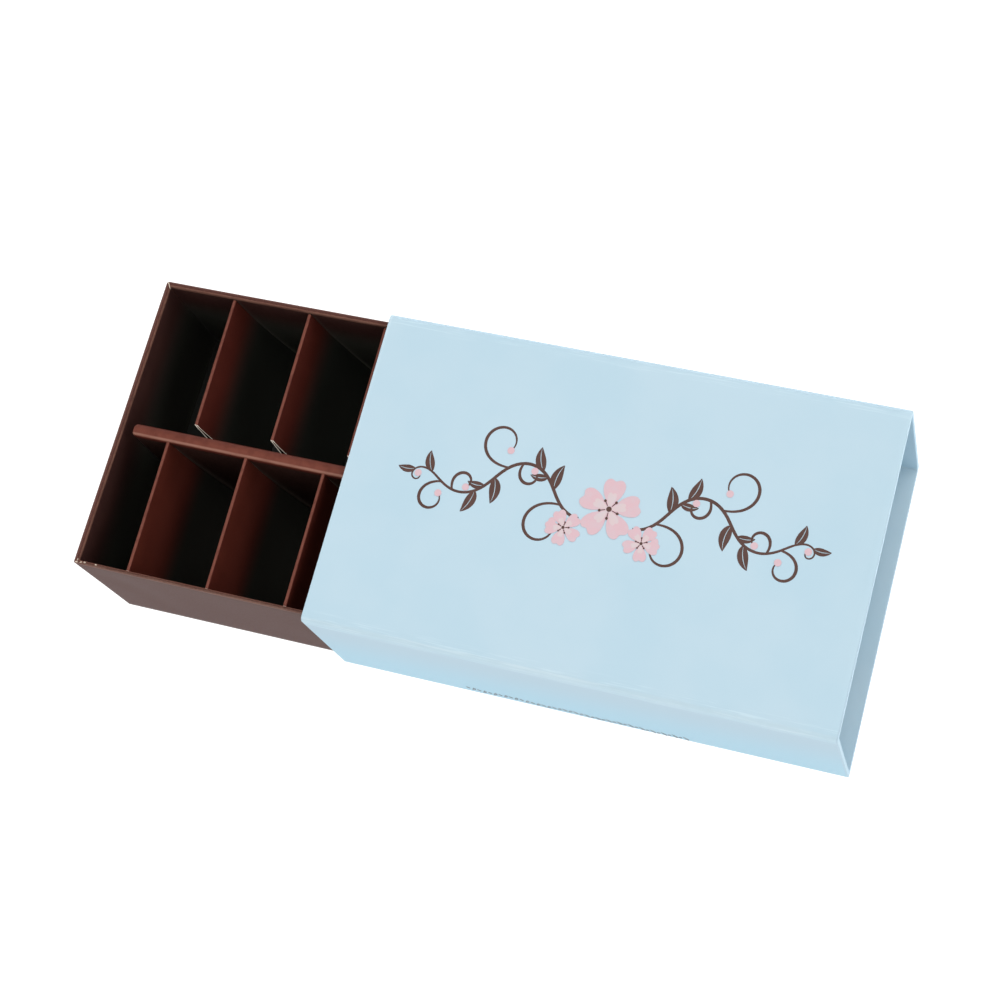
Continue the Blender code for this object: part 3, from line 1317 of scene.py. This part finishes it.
def leaf(root: np.ndarray, heading: float, length: float, width: float) -> list[Stroke]:
    """A curved leaf as two halves either side of a bare midrib.

    Each half is a stroke whose path is half a lens away from the rib, and a little more
    where the rib is thick: the lens is width times a sine of the length to a power. The
    rib's heading turns evenly by the bend.

    Args:
        root: Where the leaf grows from.
        heading: The way it points.
        length: From root to tip.
        width: Its greatest half width.

    Returns:
        The two halves.
    """
    bend, rib_half, finest = 0.7, 0.12, 0.03
    share = np.linspace(0.0, 1.0, 16)
    way = towards(heading + bend * (share - 0.5))
    step = way * length / (len(share) - 1)
    rib = root + np.cumsum(step, axis=0) - step[0]
    half = (width * np.sin(pi * share**0.8) ** 0.9 + 0.04) / 2.0
    out = left_of(way) * (rib_half * np.sin(pi * share) + half)[:, None]
    return [Stroke(rib + side, np.maximum(half, finest)) for side in (out, -out)]


def dot(centre: np.ndarray, radius: float) -> Stroke:
    """A round dot: a short stroke whose half width is a circle's, just short of its ends."""
    share = np.linspace(-0.995, 0.995, 13)
    path = np.column_stack([centre[0] + radius * share, np.full_like(share, centre[1])])
    return Stroke(path, radius * np.sqrt(1.0 - share**2))


class Layer(IntEnum):
    """The order in which the inks go down."""

    STEMS = 1
    PETALS = 5
    HEARTS = 6
    STAMENS = 7


@dataclass(frozen=True)
class Blossom:
    """A printed blossom of five notched petals round a paler heart."""

    centre: Pair
    size: float
    turn: float
    petals: int = 5
    flatness: float = 3.2
    notch: float = 0.10

    def angles(self, offset: float = 0.0) -> np.ndarray:
        """The petals' headings, or those between them with an offset of half a step."""
        return self.turn + pi / 2.0 + (np.arange(self.petals) + offset) * tau / self.petals

    def petal(self, angle: float, outer: float, spread: float) -> np.ndarray:
        """One petal as a grid of rays from near the middle.

        Across it the heading goes from one side of its own sector to the other, so that
        petals never overlap. The reach is a flattened circle of the place across, less a
        small bell in the middle, which leaves a notch.

        Args:
            angle: The way the petal points.
            outer: How far its rays reach.
            spread: Half the angle that it fills.

        Returns:
            The grid, (rows, columns, 2).
        """
        share = np.linspace(0.0, 1.0, 8)[:, None]
        side = np.linspace(-1.0, 1.0, 25)[None, :]
        edge = np.sqrt(np.maximum(1.0 - np.abs(side) ** self.flatness, 0.0))
        notch = 1.0 - self.notch * np.exp(-((side / 0.20) ** 2))
        inner = self.size * 0.06
        reach = inner + (outer - inner) * np.maximum(edge * notch, 0.02) * share
        return np.array(self.centre) + reach[..., None] * towards(angle + spread * side)

    def stamens(self) -> list[Stroke]:
        """A dot in the middle, and threads that end in dots between the petals.

        Returns:
            The strokes.
        """
        middle = np.array(self.centre)
        strokes = [dot(middle, self.size * 0.085)]
        for angle in self.angles(0.5):
            way = towards(angle)
            thread = middle + np.linspace(0.12, 0.27, 3)[:, None] * self.size * way
            strokes.append(Stroke(thread, np.full(3, 0.12)))
            strokes.append(dot(middle + 0.30 * self.size * way, self.size * 0.045))
        return strokes


@dataclass
class Garland:
    """A plain printed garland: leafy scrolls either side of three five-petalled blossoms.

    Each scroll is its place on the stem, turn from it, length and curl; each leaf is its
    place, turn and length.
    """

    sleeve: Sleeve
    shift: Pair = (1.5, 1.2)
    film: float = 0.02
    hair: float = 0.0006
    soak: float = 0.1
    bud: float = 1.2
    leaf_width: float = 0.19
    petal_spread: float = 0.60
    heart_spread: float = 0.42
    heart_size: float = 0.55
    stem: Vine = Vine((9.0, -3.5), 0.02, 78.0, swing=0.95, waves=1.5, curl=-6.2, power=13.0, steps=150)
    scrolls: tuple[tuple[float, float, float, float], ...] = (
        (0.10, -0.75, 33.0, -5.4),
        (0.43, 0.75, 33.0, 5.4),
        (0.36, -0.95, 15.0, -4.6),
        (0.70, 0.95, 15.0, 4.6),
        (0.76, -0.75, 23.0, -5.4),
    )
    leaves: tuple[tuple[float, float, float], ...] = (
        (0.17, 0.75, 9.0),
        (0.27, 0.70, 8.5),
        (0.235, -0.85, 6.0),
        (0.50, -0.75, 9.0),
        (0.60, -0.70, 8.5),
        (0.555, 0.85, 6.0),
        (0.82, 0.75, 7.5),
        (0.90, 0.75, 6.0),
    )
    blossoms: tuple[Blossom, ...] = (
        Blossom((0.0, 1.5), 10.5, 0.0),
        Blossom((-13.0, -7.5), 6.2, 0.5),
        Blossom((13.0, -7.5), 6.2, -0.5),
    )

    def lay(self, skin: Skin, flat: np.ndarray, layer: Layer) -> None:
        """Lays a flat grid on the sleeve's top as a film of ink, as high as its layer.

        Each film is a hair higher than the last one on its skin, so no two coincide, and
        soaks a little way into the paper.

        Args:
            skin: What the film is added to.
            flat: Grid of (along, across) from the middle of the print.
            layer: The ink's place in the order of printing.
        """
        middle = self.sleeve.box.middle
        along = flat[..., 0] + middle[0] + self.shift[0]
        across = flat[..., 1] + middle[1] + self.shift[1]
        paper = self.sleeve.box.high[2] - self.sleeve.dip(along, across)
        height = layer * self.film + len(skin.points) * self.hair
        upper = np.stack([along, across, paper + height], axis=-1)
        skin.add_sheet(upper, upper - (0.0, 0.0, self.soak))

    def half_strokes(self) -> tuple[list[Stroke], list[np.ndarray]]:
        """The stem, scrolls and leaves of the right half, and where its buds sit.

        Returns:
            The strokes, and the middles of the buds.
        """
        strokes = [self.stem.stroke(0.50, 0.22, 0.16)]
        buds = [self.stem.trace()[-1]]
        for share, turn, length, curl in self.scrolls:
            root, heading = self.stem.at(share)
            scroll = Vine(tuple(root), heading + turn, length, curl=curl, power=1.45)
            strokes.append(scroll.stroke(0.34, 0.18, 0.26))
            buds.append(scroll.trace()[-1])
        for share, turn, length in self.leaves:
            root, heading = self.stem.at(share)
            strokes += leaf(root, heading + turn, length, length * self.leaf_width)
        return strokes, buds

    def build(self, brown: PrintInk, pink: PrintInk, light: PrintInk) -> list[bpy.types.Object]:
        """Prints the garland.

        Args:
            brown: Ink of the scrolls and leaves.
            pink: Ink of the petals.
            light: Ink of the blossoms' paler middles.

        Returns:
            The three pieces, one for each ink.
        """
        vines, petals, hearts = Skin(), Skin(), Skin()
        strokes, buds = self.half_strokes()
        for stroke in strokes:
            self.lay(vines, stroke.sheet(), Layer.STEMS)
            self.lay(vines, stroke.mirrored().sheet(), Layer.STEMS)
        for bud in buds:
            for side in (-1.0, 1.0):
                self.lay(petals, dot(bud * (side, 1.0), self.bud).sheet(), Layer.PETALS)
        for blossom in self.blossoms:
            for angle in blossom.angles():
                petal = blossom.petal(angle, blossom.size, self.petal_spread)
                self.lay(petals, petal, Layer.PETALS)
                heart = blossom.petal(angle, blossom.size * self.heart_size, self.heart_spread)
                self.lay(hearts, heart, Layer.HEARTS)
            for stroke in blossom.stamens():
                self.lay(vines, stroke.sheet(), Layer.STAMENS)
        pieces = [
            vines.make("garland_scrolls", brown.dress()),
            petals.make("garland_petals", pink.dress()),
            hearts.make("garland_hearts", light.dress()),
        ]
        return [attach(piece, Body.SLEEVE.value) for piece in pieces]


@dataclass
class SideMarks:
    """A row of tiny printed leaves, low on the sleeve's near side.

    They stand between start and end from the sleeve's left end, leaning by turns to either
    side, at a height that goes evenly from the first to the second and waves a little.
    """

    sleeve: Sleeve
    start: float = 47.0
    end: float = 123.5
    height: Pair = (6.0, 3.4)
    pitch: float = 1.9
    lean: float = 1.25
    length: float = 3.3
    width: float = 0.42
    film: float = 0.03
    soak: float = 0.1

    def build(self, ink: PrintInk) -> bpy.types.Object:
        """Prints the row.

        Args:
            ink: Its ink.

        Returns:
            The piece, riding on the sleeve.
        """
        skin = Skin()
        left, side = self.sleeve.box.low[0], self.sleeve.box.low[1] - self.sleeve.swell
        for number, place in enumerate(np.arange(self.start, self.end, self.pitch)):
            level = np.interp(place, (self.start, self.end), self.height)
            middle = np.array([place, level + 0.5 * np.sin(place / 3.1)])
            lean = self.lean if number % 2 else pi - self.lean
            length = self.length * (1.0 + np.sin(place * 1.7) / 3.0)
            root = middle - length / 2.0 * towards(lean)
            for half in leaf(root, lean, length, self.width):
                flat = half.sheet()
                face = np.full(flat.shape[:2], side - self.film)
                outer = np.stack([flat[..., 0] + left, face, flat[..., 1]], axis=-1)
                skin.add_sheet(outer, outer + (0.0, self.film + self.soak, 0.0))
        piece = skin.make("side_marks", ink.dress())
        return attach(piece, Body.SLEEVE.value)


# The studio


@dataclass
class Studio:
    """A white table in a ring of low soft light, with a smaller soft light overhead."""

    table: float = 9000.0
    table_depth: float = 20.0
    table_gap: float = 0.02
    low_light: float = 0.65
    ring: float = 2.25
    ring_lean: Pair = (0.30, 0.33)
    overhead: float = 2.3

    def lay_table(self, top: TableTop) -> bpy.types.Object:
        """The table: a flat slab just under the box.

        Args:
            top: Its finish.

        Returns:
            The slab.
        """
        edge = np.array([-self.table / 2.0, self.table / 2.0])
        first, second = np.meshgrid(edge, edge, indexing="ij")
        upper = np.stack([first, second, np.full_like(first, -self.table_gap)], axis=-1)
        skin = Skin()
        skin.add_sheet(upper, upper - (0.0, 0.0, self.table_depth))
        slab = skin.make("table", top.dress())
        return slab

    def light_room(self) -> None:
        """The sky, by the height of each direction: dim, then the ring, dark, overhead light.

        The ring is a smooth step up times a smooth step down of the height, and it is
        brighter to the right and behind by a share of the direction's x and y.
        """
        world = bpy.data.worlds.new("room")
        sheet = ShaderSheet(world)
        x, y, z = sheet.axes(sheet.direction())
        side = 1.0 + x * self.ring_lean[0] + y * self.ring_lean[1]
        ring = z.ease(0.10, 0.30) * z.ease(0.72, 0.50) * side * self.ring
        low = z.ease(0.30, 0.10) * self.low_light
        sheet.shine(ring + low + z.ease(0.86, 0.93) * self.overhead)
        bpy.context.scene.world = world
        bpy.context.scene.view_settings.view_transform = "Standard"


@dataclass(frozen=True)
class PhotoCamera:
    """The photograph's viewpoint: looking steeply down, turned about the line of sight."""

    place: tuple[float, float, float] = (0.20638, -0.18777, 0.73011)
    azimuth: float = 46.88
    elevation: float = 68.01
    roll: float = 33.12
    lens: float = 81.07

    def axes(self) -> np.ndarray:
        """The camera's right, up and back.

        Forward points down from the azimuth and elevation. Level right and down are cross
        products with it, and the roll turns both in the picture.

        Returns:
            The three as the columns of an array (3, 3).
        """
        azimuth, elevation, roll = np.radians([self.azimuth, self.elevation, self.roll])
        level = np.cos(elevation)
        back = np.array([np.sin(azimuth) * level, -np.cos(azimuth) * level, np.sin(elevation)])
        right = np.cross(-back, (0.0, 0.0, 1.0))
        right = right / np.linalg.norm(right)
        down = np.cross(-back, right)
        turned_right = np.cos(roll) * right + np.sin(roll) * down
        turned_down = np.cos(roll) * down - np.sin(roll) * right
        return np.column_stack([turned_right, -turned_down, back])

    def set_up(self) -> None:
        """Makes the camera and gives it to the scene."""
        data = bpy.data.cameras.new("photo_camera")
        data.lens = self.lens
        data.sensor_width = 36.0
        data.clip_start = 0.01
        placed = np.eye(4)
        placed[:3, :3] = self.axes()
        placed[:3, 3] = self.place
        camera = bpy.data.objects.new("photo_camera", data)
        camera.matrix_world = placed.T.tolist()
        bpy.context.scene.collection.objects.link(camera)
        bpy.context.scene.camera = camera


def main() -> None:
    """Builds the sub-assemblies in order, then the studio and the camera."""
    logging.basicConfig(level=logging.INFO, format="%(name)s: %(message)s")
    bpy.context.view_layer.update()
    sleeve = Sleeve(Box.of("sleeve"))
    box = sleeve.box
    sleeve.build(PaleWrap(box.low[0], box.high[0], box.high[1] + sleeve.swell, box.high[2]))
    tray = Tray(Box.of("tray"))
    low, high = tray.box.low, tray.box.high
    board = TrayStock(
        "tray_stock",
        top=high[2],
        # The base, the inside's tone, is darker than the outer ply as painted shade; dim is painted shade
        # lower in the tray.
        base=(0.036, 0.0145, 0.0122),
        deep=(0.031, 0.0126, 0.0108),
        rubbed=(0.115, 0.042, 0.030),
        lower=(0.036, 0.0145, 0.0122),
        dim=(0.048, 0.050, 0.041),
        ior=1.158,
        low=tuple(low[:2]),
        high=tuple(high[:2]),
    )
    tray.build(board)
    bar = CentreBar(Box.of("divider"))
    bar.build(BarStock("bar_stock", top=bar.box.high[2], near=bar.box.low[1], far=bar.box.high[1]))
    far = FinStrip(
        box=Box.of("liner_far"),
        node="liner_far",
        name="far_fins",
        first_fin=-103.95,
        pitch=27.95,
        phase=0.4,
        stray=(-0.66, -0.54, -0.72, -0.5, -0.5),
    )
    near = FinStrip(
        box=Box.of("liner_near"),
        node="liner_near",
        name="near_fins",
        first_fin=-110.95,
        pitch=28.45,
        phase=2.1,
        stray=(-0.86, -0.44, -0.78, -0.5, -0.5),
        draw_back=-0.70,
        reach=0.62,
    )
    edge = {"top": far.box.high[2], "rubbed": (0.158, 0.048, 0.032), "rub_depth": 0.36}
    # The far row: the same card shaded darker, with its painted shade starting higher.
    far_card = BrownStock(
        "far_card",
        base=(0.0605, 0.0115, 0.0075),
        deep=(0.0530, 0.0095, 0.0062),
        lower=(0.0620, 0.0118, 0.0076),
        dim_depth=(8.5, 23.0),
        **edge,
    )
    # The near row: its lower tone is lighter, as painted light, and its painted shade starts deeper.
    near_card = BrownStock("near_card", lower=(0.102, 0.0225, 0.0150), dim_depth=(17.5, 29.0), **edge)
    far.build(far_card, RawCard("far_raw_card"))
    near.build(near_card, RawCard("near_raw_card"))
    brown = PrintInk("brown_ink", (0.070, 0.028, 0.020), (0.085, 0.036, 0.027))
    pink = PrintInk("pink_ink", (0.62, 0.42, 0.46), (0.60, 0.44, 0.48))
    light = PrintInk("light_pink_ink", (0.61, 0.49, 0.50), (0.59, 0.50, 0.52))
    slate = PrintInk("slate_ink", (0.055, 0.060, 0.080), (0.10, 0.12, 0.15))
    Garland(sleeve).build(brown, pink, light)
    SideMarks(sleeve).build(slate)
    studio = Studio()
    studio.lay_table(TableTop())
    studio.light_room()
    PhotoCamera().set_up()


if __name__ == "__main__":
    main()
